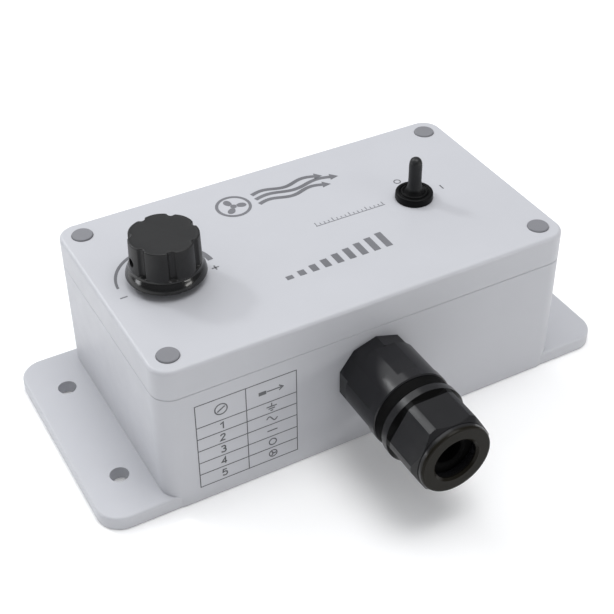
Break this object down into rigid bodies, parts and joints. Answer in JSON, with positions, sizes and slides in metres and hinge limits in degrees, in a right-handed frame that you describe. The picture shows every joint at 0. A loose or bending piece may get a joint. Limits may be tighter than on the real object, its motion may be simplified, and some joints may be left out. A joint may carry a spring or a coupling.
{
  "type": "fan speed controller",
  "caption": "Wall-mounted fan speed controller: flanged plastic enclosure with speed knob, booted toggle switch and front cable gland.",
  "frame": {"origin": "centre of the mounting plane, in the middle of the four wall-mounting holes", "axes": "+Z out of the lid, +X along the long side from the knob to the switch, -Y out of the cable gland"},
  "size_m": [0.2026, 0.1399, 0.078],
  "materials": {
    "abs_white": "satin",
    "cap_grey": "satin",
    "nylon_black": "satin",
    "rubber_black": "matte",
    "boot_rubber": "matte",
    "knob_black": "satin",
    "steel": "plated",
    "brass": "plain",
    "bakelite": "moulded",
    "nylon_white": "moulded",
    "aluminium": "extruded",
    "board_green": "coated",
    "ferrite": "coated",
    "copper": "enamelled",
    "cap_yellow": "moulded",
    "fuse_glass": "clear",
    "lead_black": "PVC"
  },
  "bodies": {
    "enclosure": {"base_box": "abs_white", "boot_base": "boot_rubber", "boot_nut": "brass", "choke_core": "ferrite", "choke_winding": "copper", "diac": "cap_yellow", "film_capacitors": "cap_yellow", "fuse": "fuse_glass", "fuse_clips": "brass", "gland_body": "nylon_black", "gland_claw": "nylon_black", "gland_locknut": "nylon_black", "gland_neck_ring": "rubber_black", "gland_seal": "rubber_black", "gland_wall_seal": "rubber_black", "heatsink": "aluminium", "heatsink_screw": "steel", "lid": "abs_white", "lid_gasket": "rubber_black", "lid_screws": "steel", "pcb": "board_green", "pcb_screws": "steel", "pot_bushing": "brass", "pot_housing": "bakelite", "pot_leads": "lead_black", "pot_nut": "steel", "pot_terminals": "brass", "pot_track": "bakelite", "pot_washer": "steel", "resistors": "cap_yellow", "screw_caps": "cap_grey", "screw_inserts": "brass", "switch_bushing": "brass", "switch_case": "bakelite", "switch_leads": "lead_black", "switch_terminals": "brass", "switch_top_plate": "steel", "terminal_block": "board_green", "terminal_clamps": "brass", "terminal_screws": "steel", "triac": "bakelite"},
    "speed_rotor": {"knob": "knob_black", "knob_set_screw": "steel", "pot_shaft": "aluminium", "pot_wiper": "brass"},
    "toggle_lever": {"switch_lever": "steel", "switch_plunger": "nylon_white", "switch_spring": "steel", "boot_sleeve": "boot_rubber"},
    "contact_rocker": {"switch_rocker": "brass"},
    "slip_ring": {"gland_slip_ring": "nylon_black"},
    "gland_nut": {"gland_dome_nut": "nylon_black"}
  },
  "joints": [
    {"name": "knob_turn", "type": "hinge", "parent": "enclosure", "child": "speed_rotor", "pos_m": [-0.0551, 0, 0.06], "axis": [0, 0, 1], "range_deg": [-150, 150]},
    {"name": "toggle_tilt", "type": "hinge", "parent": "enclosure", "child": "toggle_lever", "pos_m": [0.043, 0, 0.0608], "axis": [0, 1, 0], "range_deg": [-12.5, 12.5]},
    {"name": "rocker_tilt", "type": "hinge", "parent": "enclosure", "child": "contact_rocker", "pos_m": [0.043, 0, 0.0489], "axis": [0, 1, 0], "range_deg": [-5.1, 5.1]},
    {"name": "slip_ring_slide", "type": "slide", "parent": "enclosure", "child": "slip_ring", "axis": [0, -1, 0], "range_m": [0, 0.00301]},
    {"name": "gland_nut_turn", "type": "hinge", "parent": "slip_ring", "child": "gland_nut", "pos_m": [0, -0.084, 0.03], "axis": [0, -1, 0], "range_deg": [0, 720]}
  ],
  "couplings": [
    {"joint": "rocker_tilt", "follows": "toggle_tilt", "ratio": -0.4},
    {"joint": "slip_ring_slide", "follows": "gland_nut_turn", "m_per_rad": 0.00023873}
  ]
}
